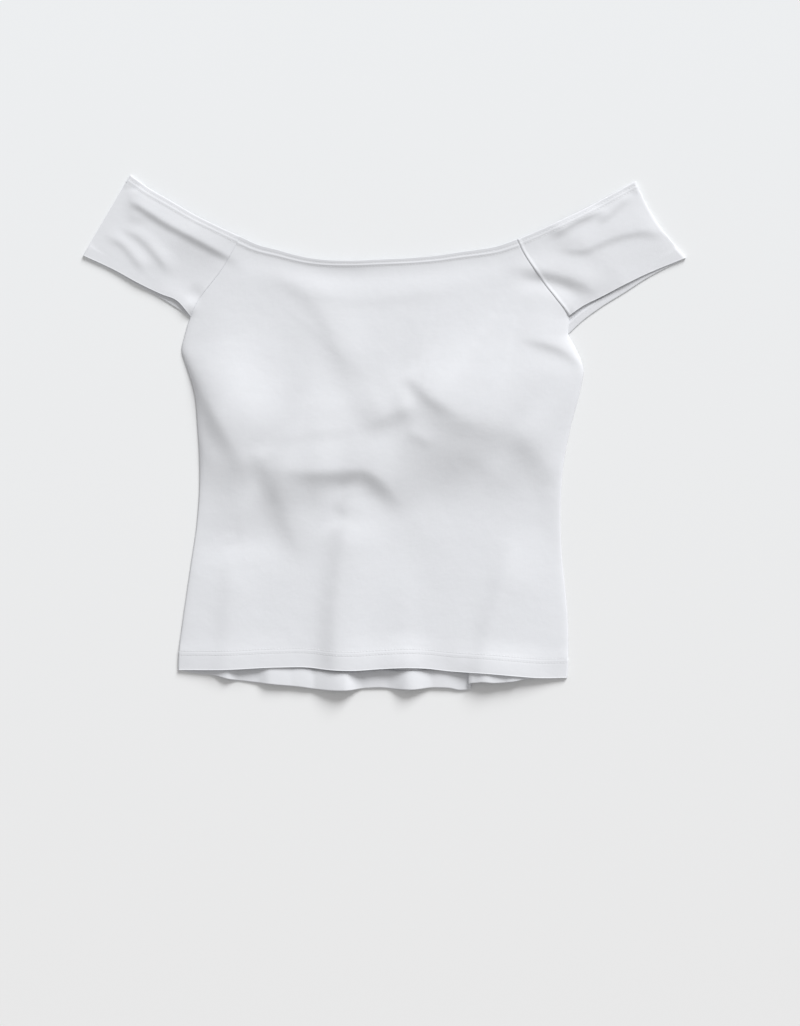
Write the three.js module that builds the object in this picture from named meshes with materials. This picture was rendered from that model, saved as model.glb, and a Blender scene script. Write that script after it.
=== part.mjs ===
// Off-shoulder top in white cotton jersey, laid flat with its front up. Millimetres, +Z up.
// Seen from above, +X is to the right and +Y runs from the bottom hem towards the neckline.
// The origin lies on the surface, under the middle of the top's box.
import * as THREE from 'three';

// Cloth, hems and seams
const WALL = 1.0;
const HEM_WALL = 1.8;
const GAP = 0.3;
const SEAM_INSET = 0.2;
const NECK_HEM = 8;
const BODY_HEM = 19;
const SLEEVE_HEM = 8;
const SLEEVE_DEPTH = 93;
const HEM_STEP = 1;

// Net sizes, in cells
const BODY_COLUMNS = 36;
const BODY_ROW = 12;
const BACK_ROW = 26;
const SLEEVE_COLUMNS = 11;
const SLEEVE_ROW = 13;
const FOLD_STEPS = 6;

// How quickly the front rises from its folded edges, and how round its corners are in plan
const EDGE_EASE = 12;
const EDGE_ROUNDING = 4;

// Body outline as it lies, from the bottom hem up the side seams and then up the armhole seams
const FRONT_EDGES = [
  { y: -246, left: -206.3, right: 182.4 },
  { y: -219, left: -205.6, right: 183.7 },
  { y: -192, left: -202.3, right: 183.4 },
  { y: -160, left: -197.7, right: 181.1 },
  { y: -129, left: -193.1, right: 177.8 },
  { y: -97, left: -188.3, right: 176.1 },
  { y: -66, left: -185.5, right: 176.3 },
  { y: -27, left: -184.9, right: 179.5 },
  { y: 9, left: -187.1, right: 186.9 },
  { y: 43, left: -190.5, right: 195.8 },
  { y: 64, left: -196.9, right: 198.9 },
  { y: 83, left: -202.7, right: 191.8 },
  { y: 98, left: -199.5, right: 184.0 },
  { y: 116, left: -194.0, right: 184.2 },
  { y: 134, left: -185.0, right: 171.5 },
  { y: 147, left: -174.9, right: 161.2 },
  { y: 161, left: -164.0, right: 151.2 },
  { y: 178, left: -153.5, right: 140.0 },
  { y: 196, left: -143.8, right: 131.2 },
];
// The back differs above the armpits, where its armholes slant in to a lower neckline
const BACK_ARMHOLES = [
  { y: 98, left: -199.5, right: 184.0 },
  { y: 116, left: -194.0, right: 167.0 },
  { y: 133, left: -176.5, right: 151.5 },
  { y: 150, left: -155.5, right: 137.0 },
  { y: 168, left: -134.0, right: 121.5 },
];
const FRONT_ARMPITS = { left: 116.5, right: 116.5 };
const BACK_ARMPITS = { left: 115.5, right: 98.5 };

// Level edges across the body, left to right
const FRONT_HEM = [
  { x: -206, y: -237.2 },
  { x: -161, y: -237.0 },
  { x: -107, y: -234.6 },
  { x: -55, y: -237.1 },
  { x: -31, y: -237.8 },
  { x: 23, y: -235.0 },
  { x: 64, y: -238.3 },
  { x: 103, y: -240.9 },
  { x: 151, y: -245.0 },
  { x: 182, y: -245.0 },
];
const FRONT_NECK = [
  { x: -144, y: 195.7 },
  { x: -129, y: 188.5 },
  { x: -107, y: 182.3 },
  { x: -76, y: 174.4 },
  { x: -44, y: 171.9 },
  { x: -4, y: 173.0 },
  { x: 24, y: 174.3 },
  { x: 53, y: 177.0 },
  { x: 93, y: 182.8 },
  { x: 110, y: 185.8 },
  { x: 131, y: 193.0 },
];
const BACK_HEM = [
  { x: -206, y: -237.5 },
  { x: -168, y: -242.8 },
  { x: -138, y: -248.0 },
  { x: -85, y: -253.6 },
  { x: -42, y: -257.4 },
  { x: -4, y: -254.9 },
  { x: 30, y: -256.5 },
  { x: 64, y: -255.0 },
  { x: 84, y: -256.8 },
  { x: 92, y: -251.5 },
  { x: 131, y: -248.2 },
  { x: 151, y: -245.6 },
  { x: 182, y: -245.2 },
];
const BACK_NECK = [
  { x: -134, y: 167.0 },
  { x: -89, y: 145.0 },
  { x: -54, y: 137.0 },
  { x: -20, y: 134.3 },
  { x: 42, y: 139.8 },
  { x: 85, y: 148.0 },
  { x: 121, y: 168.0 },
];

// Each sleeve is one band, folded at its outer edge. A row is one section across the band, from
// the armhole out to the fold, with the ends of its front layer and of its back layer.
const LEFT_SLEEVE = {
  front: [
    { out: 0.0, neckX: -144, neckY: 195.7, hemX: -194, hemY: 116.5 },
    { out: 0.2, neckX: -166, neckY: 205.7, hemX: -207.5, hemY: 131.8 },
    { out: 0.4, neckX: -189, neckY: 217.2, hemX: -224.5, hemY: 139 },
    { out: 0.6, neckX: -212, neckY: 230.6, hemX: -245.5, hemY: 149.1 },
    { out: 0.8, neckX: -234, neckY: 243.3, hemX: -272.5, hemY: 163.9 },
    { out: 1.0, neckX: -254.4, neckY: 257.4, hemX: -301.4, hemY: 177.2 },
  ],
  back: [
    { out: 0.0, neckX: -134, neckY: 167, hemX: -194, hemY: 115.5 },
    { out: 0.2, neckX: -160, neckY: 190, hemX: -207.5, hemY: 124.5 },
    { out: 0.4, neckX: -187, neckY: 210, hemX: -224.5, hemY: 133.5 },
    { out: 0.6, neckX: -211, neckY: 226, hemX: -245.5, hemY: 146.5 },
    { out: 0.8, neckX: -233, neckY: 241, hemX: -272.5, hemY: 162.5 },
    { out: 1.0, neckX: -254.4, neckY: 257.4, hemX: -301.4, hemY: 177.2 },
  ],
};
const RIGHT_SLEEVE = {
  front: [
    { out: 0.0, neckX: 131, neckY: 193, hemX: 184.5, hemY: 116.5 },
    { out: 0.2, neckX: 155.5, neckY: 203, hemX: 199.2, hemY: 126.9 },
    { out: 0.4, neckX: 175.5, neckY: 212, hemX: 219.5, hemY: 137 },
    { out: 0.6, neckX: 198.5, neckY: 223, hemX: 240, hemY: 147.9 },
    { out: 0.8, neckX: 222.5, neckY: 235.6, hemX: 265.5, hemY: 160.2 },
    { out: 1.0, neckX: 251.3, neckY: 251.3, hemX: 301.6, hemY: 175 },
  ],
  back: [
    { out: 0.0, neckX: 121.5, neckY: 168, hemX: 184, hemY: 98.5 },
    { out: 0.2, neckX: 146, neckY: 184, hemX: 199, hemY: 112.5 },
    { out: 0.4, neckX: 171, neckY: 200, hemX: 219, hemY: 127 },
    { out: 0.6, neckX: 196, neckY: 216, hemX: 240, hemY: 140 },
    { out: 0.8, neckX: 221, neckY: 232, hemX: 265, hemY: 156 },
    { out: 1.0, neckX: 251.3, neckY: 251.3, hemX: 301.6, hemY: 175 },
  ],
};
const LEFT_FOLD_BOW = 0;
const RIGHT_FOLD_BOW = 6;

// Height of the body's front over the surface, by its depth below the neckline
const FRONT_HEIGHT = [
  { depth: 0, z: 5.4 },
  { depth: 12, z: 4.4 },
  { depth: 32, z: 7.0 },
  { depth: 60, z: 9.2 },
  { depth: 100, z: 11.6 },
  { depth: 140, z: 13.4 },
  { depth: 170, z: 13.8 },
  { depth: 205, z: 12.0 },
  { depth: 245, z: 9.4 },
  { depth: 285, z: 8.4 },
  { depth: 350, z: 9.2 },
  { depth: 415, z: 9.4 },
];
const NECK_LEVEL = 171.8;
const NECK_REACH = 150;
const SLEEVE_HEIGHT = 5.4;
const SLEEVE_EASE = 26;

// Main folds of the front. Each runs along its route; rise is its height at the crest, negative for
// a trough, and left and right are how far it spreads on either side of its route.
const FOLDS = [
  { name: 'left bust swell', rise: 2.6, left: 26, right: 22, start: 0.3, end: 0.2,
    route: [[-168, 147], [-167, 108], [-156, 63], [-138, 25], [-112, 3]] },
  { name: 'fold under the left bust', rise: 3.6, left: 46, right: 14, start: 0.1, end: 0.35,
    route: [[-198, 83], [-184, 50], [-162, 13], [-148, -4], [-122, -7], [-94, -12]] },
  { name: 'arched fold at the waist', rise: 3.6, left: 30, right: 9, start: 0.3, end: 0.3,
    route: [[-134, -31], [-99, -34], [-69, -36], [-39, -34], [-18, -34], [-2, -43], [12, -59], [26, -75]] },
  { name: 'hollow under the arch', rise: -1.8, left: 7, right: 10, start: 0.35, end: 0.25,
    route: [[-94, -57], [-59, -56], [-44, -54], [-26, -52], [-12, -59], [1, -72], [16, -83]] },
  { name: 'short ridge under the arch', rise: 1.8, left: 14, right: 16, start: 0.3, end: 0.5,
    route: [[-32, -55], [-25, -67], [-27, -92], [-34, -122]] },
  { name: 'slanting fold on the left', rise: 2.8, left: 22, right: 10, start: 0.2, end: 0.3,
    route: [[-128, -21], [-112, -47], [-96, -77], [-83, -102], [-68, -123]] },
  { name: 'hollow on the left', rise: -1.4, left: 14, right: 10, start: 0.3, end: 0.3,
    route: [[-180, -101], [-162, -81], [-136, -71], [-114, -81], [-100, -101]] },
  { name: 'peak, left side', rise: 1.6, left: 22, right: 8, start: 0.3, end: 0.15,
    route: [[-22, 10], [0, 31], [26, 56]] },
  { name: 'peak and fold to the right side', rise: 3.2, left: 36, right: 15, start: 0.15, end: 0.25,
    route: [[24, 56], [46, 33], [68, 18], [94, 6], [120, 2], [146, -4], [164, -23], [172, -53]] },
  { name: 'hollow under the right bust', rise: -1.4, left: 22, right: 16, start: 0.3, end: 0.2,
    route: [[40, -55], [64, -71], [106, -76], [140, -64], [172, -61]] },
  { name: 'slack down the middle of the chest', rise: -1.6, left: 14, right: 20, start: 0.2, end: 0.3,
    route: [[-122, 163], [-84, 141], [-60, 115], [-44, 83], [-34, 48], [-32, 21]] },
  { name: 'crease from the right armpit', rise: 2.4, left: 26, right: 7, start: 0.4, end: 0,
    route: [[128, 95], [156, 90], [176, 84], [190, 75], [206, 59]] },
  { name: 'left hanging fold', rise: 1.9, left: 30, right: 10, start: 0.4, end: 0,
    route: [[-58, -102], [-52, -147], [-52, -182], [-48, -217], [-46, -247]] },
  { name: 'right hanging fold', rise: 1.2, left: 34, right: 14, start: 0.4, end: 0,
    route: [[132, -102], [126, -137], [118, -172], [104, -207], [94, -252]] },
  { name: 'outer left hanging fold', rise: 1.1, left: 26, right: 14, start: 0.4, end: 0,
    route: [[-152, -107], [-158, -157], [-162, -207], [-164, -247]] },
  { name: 'fold across the right armhole', rise: 2.2, left: 16, right: 8, start: 0.3, end: 0.25,
    route: [[112, 169], [148, 164], [170, 160], [190, 154], [208, 145], [220, 134]] },
  { name: 'fold along the left sleeve', rise: 2.4, left: 13, right: 6, start: 0.15, end: 0.3,
    route: [[-254, 236], [-234, 224], [-216, 212], [-190, 198], [-164, 185], [-148, 176], [-136, 163]] },
];

// Waves of the back's hem, which shows under the front's: the middle of each and its height
const HEM_WAVES = [
  { x: -157, rise: 4.0, spread: 10 },
  { x: -112, rise: 5.4, spread: 16 },
  { x: -41, rise: 6.2, spread: 15 },
  { x: 25, rise: 6.6, spread: 15 },
  { x: 100, rise: 6.2, spread: 26 },
];
const WAVE_LENGTH = 70;

const COLOUR = 0xe6e8ec;

// The two panels' outlines, with the distance between the rows of each one's net
const FRONT = {
  edges: FRONT_EDGES, hem: FRONT_HEM, neck: FRONT_NECK, armpits: FRONT_ARMPITS, step: BODY_ROW,
};
const BACK = {
  edges: [...FRONT_EDGES.filter((row) => row.y < BACK_ARMHOLES[0].y), ...BACK_ARMHOLES],
  hem: BACK_HEM, neck: BACK_NECK, armpits: BACK_ARMPITS, step: BACK_ROW,
};

const { clamp, lerp: mix } = THREE.MathUtils;
const ease = (t) => THREE.MathUtils.smoothstep(t, 0, 1);
const shares = (count) => Array.from({ length: count + 1 }, (_, i) => i / count);
const ends = (rows) => ({ left: rows[0].y, right: rows[rows.length - 1].y });

// A smooth curve through a table's rows, read at one value of the key column
function read(rows, key, column, at) {
  const last = rows.length - 1;
  let k = 0;
  while (k < last - 1 && at > rows[k + 1][key]) k += 1;
  const [a, b] = [rows[k], rows[k + 1]];
  const span = b[key] - a[key];
  const slope = (i) => {
    const [p, q] = [rows[Math.max(i - 1, 0)], rows[Math.min(i + 1, last)]];
    return (q[column] - p[column]) / (q[key] - p[key]);
  };
  const t = clamp((at - a[key]) / span, 0, 1);
  const [t2, t3] = [t * t, t * t * t];
  return a[column] * (2 * t3 - 3 * t2 + 1) + b[column] * (3 * t2 - 2 * t3)
    + span * (slope(k) * (t3 - 2 * t2 + t) + slope(k + 1) * (t3 - t2));
}

// The nearest place on a route: how far off it lies, positive to the left of travel, and at what
// share of the route's length
function nearest(x, y, points) {
  let found = { distance: Infinity, share: 0 };
  for (let i = 0; i < points.length - 1; i += 1) {
    const [a, b] = [points[i], points[i + 1]];
    const [dx, dy] = [b.x - a.x, b.y - a.y];
    const t = clamp(((x - a.x) * dx + (y - a.y) * dy) / (dx * dx + dy * dy), 0, 1);
    const [ex, ey] = [x - a.x - t * dx, y - a.y - t * dy];
    const distance = Math.hypot(ex, ey);
    if (distance < Math.abs(found.distance)) {
      const side = dx * ey - dy * ex >= 0 ? 1 : -1;
      found = { distance: side * distance, share: (i + t) / (points.length - 1) };
    }
  }
  return found;
}

const curve = (points, steps = 32) => new THREE.SplineCurve(points).getSpacedPoints(steps);
const foldRoutes = FOLDS.map((fold) => curve(fold.route.map(([x, y]) => new THREE.Vector2(x, y))));

function foldHeight(x, y) {
  return FOLDS.reduce((sum, fold, i) => {
    const { distance, share } = nearest(x, y, foldRoutes[i]);
    const reach = distance >= 0 ? fold.left : fold.right;
    const start = fold.start > 0 ? ease(share / fold.start) : 1;
    const end = fold.end > 0 ? ease((1 - share) / fold.end) : 1;
    return sum + fold.rise * Math.exp(-((distance / reach) ** 2)) * start * end;
  }, 0);
}

// The folded edges where the front meets the back: both sides and both sleeve folds
function sideCurve(side) {
  const rows = FRONT_EDGES.filter((row) => row.y <= FRONT_ARMPITS.left);
  return curve(rows.map((row) => new THREE.Vector2(row[side], row.y)), 48);
}
function sleeveFold({ front }, bow) {
  const tip = front[front.length - 1];
  const [a, b] = [new THREE.Vector2(tip.neckX, tip.neckY), new THREE.Vector2(tip.hemX, tip.hemY)];
  const inward = new THREE.Vector2(Math.sign(-a.x), 0).multiplyScalar(bow);
  return (t) => a.clone().lerp(b, t).addScaledVector(inward, 4 * t * (1 - t));
}
const leftFold = sleeveFold(LEFT_SLEEVE, LEFT_FOLD_BOW);
const rightFold = sleeveFold(RIGHT_SLEEVE, RIGHT_FOLD_BOW);
const FOLDED_EDGES = [
  sideCurve('left'),
  sideCurve('right'),
  shares(SLEEVE_COLUMNS).map(leftFold),
  shares(SLEEVE_COLUMNS).map(rightFold),
];
function fromEdge(x, y) {
  const sum = FOLDED_EDGES.reduce(
    (total, edge) => total + Math.exp(-Math.abs(nearest(x, y, edge).distance) / EDGE_ROUNDING), 0);
  return -EDGE_ROUNDING * Math.log(Math.min(sum, 1));
}

// Share of a point that belongs to the body, from none well inside a sleeve to all inside the body
function bodyShare(x, y) {
  const level = Math.max(y, FRONT_ARMPITS.left);
  const inside = Math.min(
    x - read(FRONT_EDGES, 'y', 'left', level), read(FRONT_EDGES, 'y', 'right', level) - x);
  return y < FRONT_ARMPITS.left ? 1 : ease((inside + SLEEVE_EASE) / (2 * SLEEVE_EASE));
}

function waveHeight(x, y) {
  const above = y - read(BACK_HEM, 'x', 'y', x);
  const fade = 1 - ease(above / WAVE_LENGTH);
  return fade * HEM_WAVES.reduce(
    (sum, wave) => sum + wave.rise * Math.exp(-(((x - wave.x) / wave.spread) ** 2)), 0);
}

// Outer height of the front layer, over its own wall and whatever lies under it
function frontTop(x, y, wall, under) {
  const below = read(FRONT_NECK, 'x', 'y', x) - y;
  const depth = mix(below, NECK_LEVEL - y, ease(below / NECK_REACH));
  const share = bodyShare(x, y);
  const body = read(FRONT_HEIGHT, 'depth', 'z', depth);
  const swell = mix(SLEEVE_HEIGHT, body, share) + foldHeight(x, y);
  const lowest = 2 * wall + GAP;
  const lifted = lowest + (swell - lowest) * (1 - Math.exp(-fromEdge(x, y) / EDGE_EASE));
  return Math.max(lifted, under + wall + GAP);
}

// A closed wall from two nets of points of the same size, its outer face and its inner face
function closedWall(outer, inner) {
  const [rows, columns] = [outer.length, outer[0].length];
  const [top, far] = [rows - 1, columns - 1];
  const points = [...outer.flat(), ...inner.flat()];
  const index = [];
  const out = (i, j) => i * columns + j;
  const back = (i, j) => rows * columns + out(i, j);
  const quad = (a, b, c, d) => index.push(a, b, c, a, c, d);
  for (let i = 0; i < top; i += 1) {
    for (let j = 0; j < far; j += 1) {
      quad(out(i, j), out(i, j + 1), out(i + 1, j + 1), out(i + 1, j));
      quad(back(i, j), back(i + 1, j), back(i + 1, j + 1), back(i, j + 1));
    }
  }
  for (let j = 0; j < far; j += 1) {
    quad(out(0, j), back(0, j), back(0, j + 1), out(0, j + 1));
    quad(out(top, j), out(top, j + 1), back(top, j + 1), back(top, j));
  }
  for (let i = 0; i < top; i += 1) {
    quad(out(i, 0), out(i + 1, 0), back(i + 1, 0), back(i, 0));
    quad(out(i, far), back(i, far), back(i + 1, far), out(i + 1, far));
  }
  const volume = signedVolume(points, index);
  const geometry = new THREE.BufferGeometry();
  geometry.setFromPoints(points);
  geometry.setIndex(volume < 0 ? index.reverse() : index);
  geometry.computeVertexNormals();
  return geometry;
}
function signedVolume(points, index) {
  let volume = 0;
  for (let i = 0; i < index.length; i += 3) {
    const [a, b, c] = [points[index[i]], points[index[i + 1]], points[index[i + 2]]];
    volume += a.dot(b.clone().cross(c)) / 6;
  }
  return volume;
}

// Levels across a turned hem and the cloth beyond it, as distances from the hem's edge
const hemLevels = (hem) => [0, hem, hem + HEM_STEP];
const between = (from, to, step) => (
  shares(Math.round((to - from) / step)).slice(1).map((t) => mix(from, to, t)));

// Rows of a sleeve from its neck edge (0) to its opening (1), with the wall of each. The armhole
// seams of both panels take the same rows.
const SLEEVE_ROWS = [
  ...hemLevels(NECK_HEM),
  ...between(NECK_HEM + HEM_STEP, SLEEVE_DEPTH - SLEEVE_HEM - HEM_STEP, SLEEVE_ROW),
  ...hemLevels(SLEEVE_HEM).slice(0, -1).reverse().map((level) => SLEEVE_DEPTH - level),
].map((level) => ({
  down: level / SLEEVE_DEPTH,
  wall: level <= NECK_HEM || level >= SLEEVE_DEPTH - SLEEVE_HEM ? HEM_WALL : WALL,
}));

// A body panel's net, in plan: rows from the hem up to the armpits, then along the armholes
function bodyNet({ edges, hem, neck, armpits, step }) {
  const [hemEnds, neckEnds] = [ends(hem), ends(neck)];
  const height = armpits.left - hemEnds.left;
  const levels = [...hemLevels(BODY_HEM), ...between(BODY_HEM + HEM_STEP, height, step)];
  const lower = levels.map((level) => ({
    leftY: mix(hemEnds.left, armpits.left, level / height),
    rightY: mix(hemEnds.right, armpits.right, level / height),
    wall: level <= BODY_HEM ? HEM_WALL : WALL,
  }));
  const upper = [...SLEEVE_ROWS].reverse().slice(1).map(({ down, wall }) => ({
    leftY: mix(neckEnds.left, armpits.left, down),
    rightY: mix(neckEnds.right, armpits.right, down),
    wall: down * SLEEVE_DEPTH <= NECK_HEM ? wall : WALL,
  }));
  return [...lower, ...upper].map(({ leftY, rightY, wall }) => {
    const up = (leftY - hemEnds.left) / (neckEnds.left - hemEnds.left);
    const [left, right] = [read(edges, 'y', 'left', leftY), read(edges, 'y', 'right', rightY)];
    return shares(BODY_COLUMNS).map((s) => {
      const x = mix(left + SEAM_INSET, right - SEAM_INSET, s);
      const y = mix(leftY, rightY, s) + (1 - up) * sag(hem, s) + up ** 3 * sag(neck, s);
      return { x, y, wall };
    });
  });
}
// How far a level edge lies off the straight line between its two ends
function sag(rows, s) {
  const { left, right } = ends(rows);
  return read(rows, 'x', 'y', mix(rows[0].x, rows[rows.length - 1].x, s)) - mix(left, right, s);
}

function backPanel() {
  const point = (layers) => ({ x, y, wall }) => new THREE.Vector3(x, y, waveHeight(x, y) + layers * wall);
  const net = bodyNet(BACK);
  return closedWall(net.map((row) => row.map(point(1))), net.map((row) => row.map(point(0))));
}

function frontPanel() {
  const net = bodyNet(FRONT);
  const top = net.map((row) => row.map(({ x, y, wall }) => {
    const underlay = y > BACK_ARMPITS.right - HEM_STEP ? HEM_WALL : wall;
    return new THREE.Vector3(x, y, frontTop(x, y, wall, waveHeight(x, y) + underlay));
  }));
  const inside = top.map((row, i) => row.map((p, j) => p.clone().setZ(p.z - net[i][j].wall)));
  return closedWall(top, inside);
}

// One layer of a sleeve, in plan: out runs from its armhole (0) to the fold (1), and down from its
// neck edge (0) to its opening (1)
function sleeveLayer({ sections, fold, side, layer, panel }) {
  const armhole = side < 0 ? 'left' : 'right';
  const rows = sections[layer];
  const straight = (out, down) => new THREE.Vector2(
    mix(read(rows, 'out', 'neckX', out), read(rows, 'out', 'hemX', out), down),
    mix(read(rows, 'out', 'neckY', out), read(rows, 'out', 'hemY', out), down));
  return (out, down, tuck) => {
    const seamY = mix(ends(panel.neck)[armhole], panel.armpits[armhole], down);
    const seam = new THREE.Vector2(read(panel.edges, 'y', armhole, seamY) + side * SEAM_INSET, seamY);
    return straight(out, down)
      .addScaledVector(seam.sub(straight(0, down)), (1 - out) ** 2)
      .addScaledVector(fold(down).sub(straight(1, down)).sub(tuck), out ** 3);
  };
}

function sleeve(sections, fold, side) {
  const front = sleeveLayer({ sections, fold, side, layer: 'front', panel: FRONT });
  const back = sleeveLayer({ sections, fold, side, layer: 'back', panel: BACK });
  const edge = fold(1).sub(fold(0)).normalize();
  const outward = new THREE.Vector2(-edge.y * side, edge.x * side);
  const across = shares(SLEEVE_COLUMNS).slice(0, -1);
  const rows = SLEEVE_ROWS.map(({ down, wall }) => {
    const radius = wall + GAP / 2;
    const tuck = outward.clone().multiplyScalar(radius);
    const centre = fold(down).sub(tuck);
    const upper = across.map((out) => {
      const p = front(out, down, tuck);
      return { p, z: frontTop(p.x, p.y, wall, wall) };
    });
    const lower = across.map((out) => back(out, down, tuck)).reverse();
    const round = (r) => shares(FOLD_STEPS).map((turn) => {
      const angle = Math.PI * (0.5 - turn);
      const p = centre.clone().addScaledVector(outward, r * Math.cos(angle));
      return new THREE.Vector3(p.x, p.y, radius + r * Math.sin(angle));
    });
    const around = (layers, r) => [
      ...upper.map(({ p, z }) => new THREE.Vector3(p.x, p.y, z - layers * wall)),
      ...round(r),
      ...lower.map((p) => new THREE.Vector3(p.x, p.y, layers * wall)),
    ];
    return { outer: around(0, radius), inner: around(1, GAP / 2) };
  });
  return closedWall(rows.map((row) => row.outer), rows.map((row) => row.inner));
}

function piece(name, geometry) {
  const jersey = new THREE.MeshStandardMaterial({ color: COLOUR, roughness: 0.85, metalness: 0 });
  const mesh = new THREE.Mesh(geometry, jersey);
  mesh.name = name;
  return mesh;
}

const group = new THREE.Group();
group.add(piece('back_panel', backPanel()));
group.add(piece('front_panel', frontPanel()));
group.add(piece('sleeve_left', sleeve(LEFT_SLEEVE, leftFold, -1)));
group.add(piece('sleeve_right', sleeve(RIGHT_SLEEVE, rightFold, 1)));

export default group;
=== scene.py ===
from collections import namedtuple

import bmesh
import bpy
import numpy as np
from mathutils import Matrix, Vector


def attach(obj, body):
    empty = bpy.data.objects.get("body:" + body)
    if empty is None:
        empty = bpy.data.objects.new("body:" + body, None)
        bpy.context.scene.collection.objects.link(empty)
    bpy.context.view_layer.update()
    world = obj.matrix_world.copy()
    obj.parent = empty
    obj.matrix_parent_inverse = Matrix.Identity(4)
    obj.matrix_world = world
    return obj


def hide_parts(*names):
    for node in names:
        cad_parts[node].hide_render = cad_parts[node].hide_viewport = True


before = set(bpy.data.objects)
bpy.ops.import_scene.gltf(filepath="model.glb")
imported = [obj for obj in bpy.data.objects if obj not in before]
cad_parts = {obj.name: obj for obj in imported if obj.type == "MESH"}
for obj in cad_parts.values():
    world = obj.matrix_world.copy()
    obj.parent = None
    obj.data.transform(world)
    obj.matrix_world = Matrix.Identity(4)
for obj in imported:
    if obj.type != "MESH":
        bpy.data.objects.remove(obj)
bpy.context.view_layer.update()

# Back panel. White cotton jersey, cut narrower at the waist, that lies flat on its right side under
# the front. Its hem is turned up and sewn; it reaches below the front's and stands up in waves.
MM = 0.001
JERSEY = 0.42
TURN = JERSEY + 0.05
TURN_BULGE = 0.25
BODY_HEM = 19.0
NECK_HEM = 8.8
BODY_WIDTH = 380
BACK_LENGTH = 407
BACK_INSET = 1.2

# A level gives both side edges at one height. Hem and neck lines are rows of (x, y).
Level = namedtuple("Level", "y left right")
SIDES = [
    Level(-246, -206.3, 182.4), Level(-219, -205.6, 183.7), Level(-192, -202.3, 183.4),
    Level(-160, -197.7, 181.1), Level(-129, -193.1, 177.8), Level(-97, -188.3, 176.1),
    Level(-66, -185.5, 176.3), Level(-27, -184.9, 179.5), Level(9, -187.1, 186.9),
    Level(43, -190.5, 195.8), Level(64, -196.9, 198.9), Level(83, -202.7, 191.8),
]
BACK_ARMHOLES = [
    Level(98, -199.5, 184.0), Level(116, -194.0, 167.0), Level(133, -176.5, 151.5),
    Level(150, -155.5, 137.0), Level(168, -134.0, 121.5),
]
BACK_ARMPITS = (115.5, 98.5)
BACK_HEM_LINE = [
    (-206, -237.5), (-190, -240.5), (-168, -243.0), (-159, -245.5), (-138, -248.3), (-112, -251.3),
    (-85, -253.8), (-67, -256.2), (-49, -257.5), (-36, -257.3), (-20, -255.3), (-4, -254.6),
    (14, -256.2), (30, -256.5), (45, -254.8), (64, -255.0), (80, -256.6), (90, -250.6),
    (112, -249.9), (131, -248.2), (141, -246.2), (151, -245.4), (182, -245.2),
]
BACK_NECK_LINE = [(-134, 167), (-89, 145), (-54, 137), (-20, 134.3), (42, 139.8), (85, 148), (121, 168)]

# A wave of the hem stands highest at its x, with its spread to either side. A pleat folds the cloth
# over itself at one place.
Wave = namedtuple("Wave", "x rise left right")
HEM_WAVES = [
    Wave(-157, 3.6, 12, 7), Wave(-114, 4.2, 11, 40), Wave(-84, 3.3, 40, 26), Wave(-40, 8.4, 28, 11),
    Wave(-8, 0.9, 20, 20), Wave(25, 6.6, 14, 18), Wave(58, 1.7, 30, 26), Wave(104, 7.6, 18, 40),
    Wave(126, 6.8, 20, 24),
]
WAVE_LENGTH = 70
PLEAT_X = 85
PLEAT_WIDTH = 9
PLEAT_REACH = 5
PLEAT_START = 79
PLEAT_CREST = 95
PLEAT_RISE = 1.6
PLEAT_SPREAD = 12


def table_curve(rows, at):
    """A smooth curve through rows of (place, value), read at every place of at."""
    places, values = (np.array(column, float) for column in zip(*rows))
    slopes = np.gradient(values, places)
    at = np.clip(at, places[0], places[-1])
    k = np.clip(np.searchsorted(places, at, side="right") - 1, 0, len(places) - 2)
    span = places[k + 1] - places[k]
    t = (at - places[k]) / span
    return (values[k] * (1 + 2 * t) * (1 - t) ** 2 + values[k + 1] * t * t * (3 - 2 * t)
            + span * (slopes[k] * t * (1 - t) ** 2 - slopes[k + 1] * t * t * (1 - t)))


def ease(t):
    """Goes smoothly from 0 to 1 as t does."""
    t = np.clip(t, 0, 1)
    return t * t * (3 - 2 * t)


def mix(a, b, t):
    return a + (b - a) * t


def turned_edge(depth, step):
    """Rows across a turned hem: how far each lies inside the edge, and how far it drops under the
    outer layer. They run from the raw edge inside, round the fold, and out on the outer layer."""
    inside = np.arange(depth, TURN, -step)
    around = np.linspace(np.pi, 0, 7)
    insets = np.concatenate([inside, TURN_BULGE - TURN_BULGE * np.sin(around)])
    drops = np.concatenate([np.full(len(inside), 2 * TURN), TURN - TURN * np.cos(around)])
    return insets, drops


FINE_PAST_HEM = 3


class Rows:
    """The rows of a piece's net, from one hemmed edge to the other. Steps are dense on the hems."""

    def __init__(self, length, low_hem, high_hem, dense, step, hem_step=2.4):
        low_in, low_drop = turned_edge(low_hem, hem_step)
        high_in, high_drop = turned_edge(high_hem, hem_step)
        low_outer = np.arange(TURN + dense, low_hem + FINE_PAST_HEM, dense)
        high_outer = np.arange(TURN + dense, high_hem + FINE_PAST_HEM, dense)
        count = int((length - low_outer[-1] - high_outer[-1]) / step)
        middle = np.linspace(low_outer[-1], length - high_outer[-1], count + 1)[1:-1]
        plain = np.zeros(len(low_outer) + len(middle) + len(high_outer))
        self.at = np.concatenate([
            low_in, low_outer, middle, length - high_outer[::-1], length - high_in[::-1]])
        self.drop = np.concatenate([low_drop, plain, high_drop[::-1]])
        self.length = length
        self.low_hem, self.high_hem = low_hem, high_hem
        run = np.hypot(np.diff(self.at), np.diff(self.drop))
        self.along = np.concatenate([[0], np.cumsum(run)])

    def row_at(self, distance):
        """The row of the outer layer that lies nearest to a distance from the low edge."""
        outer = np.where(self.drop == 0, self.at, np.inf)
        return int(np.argmin(np.abs(outer - distance)))


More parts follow.
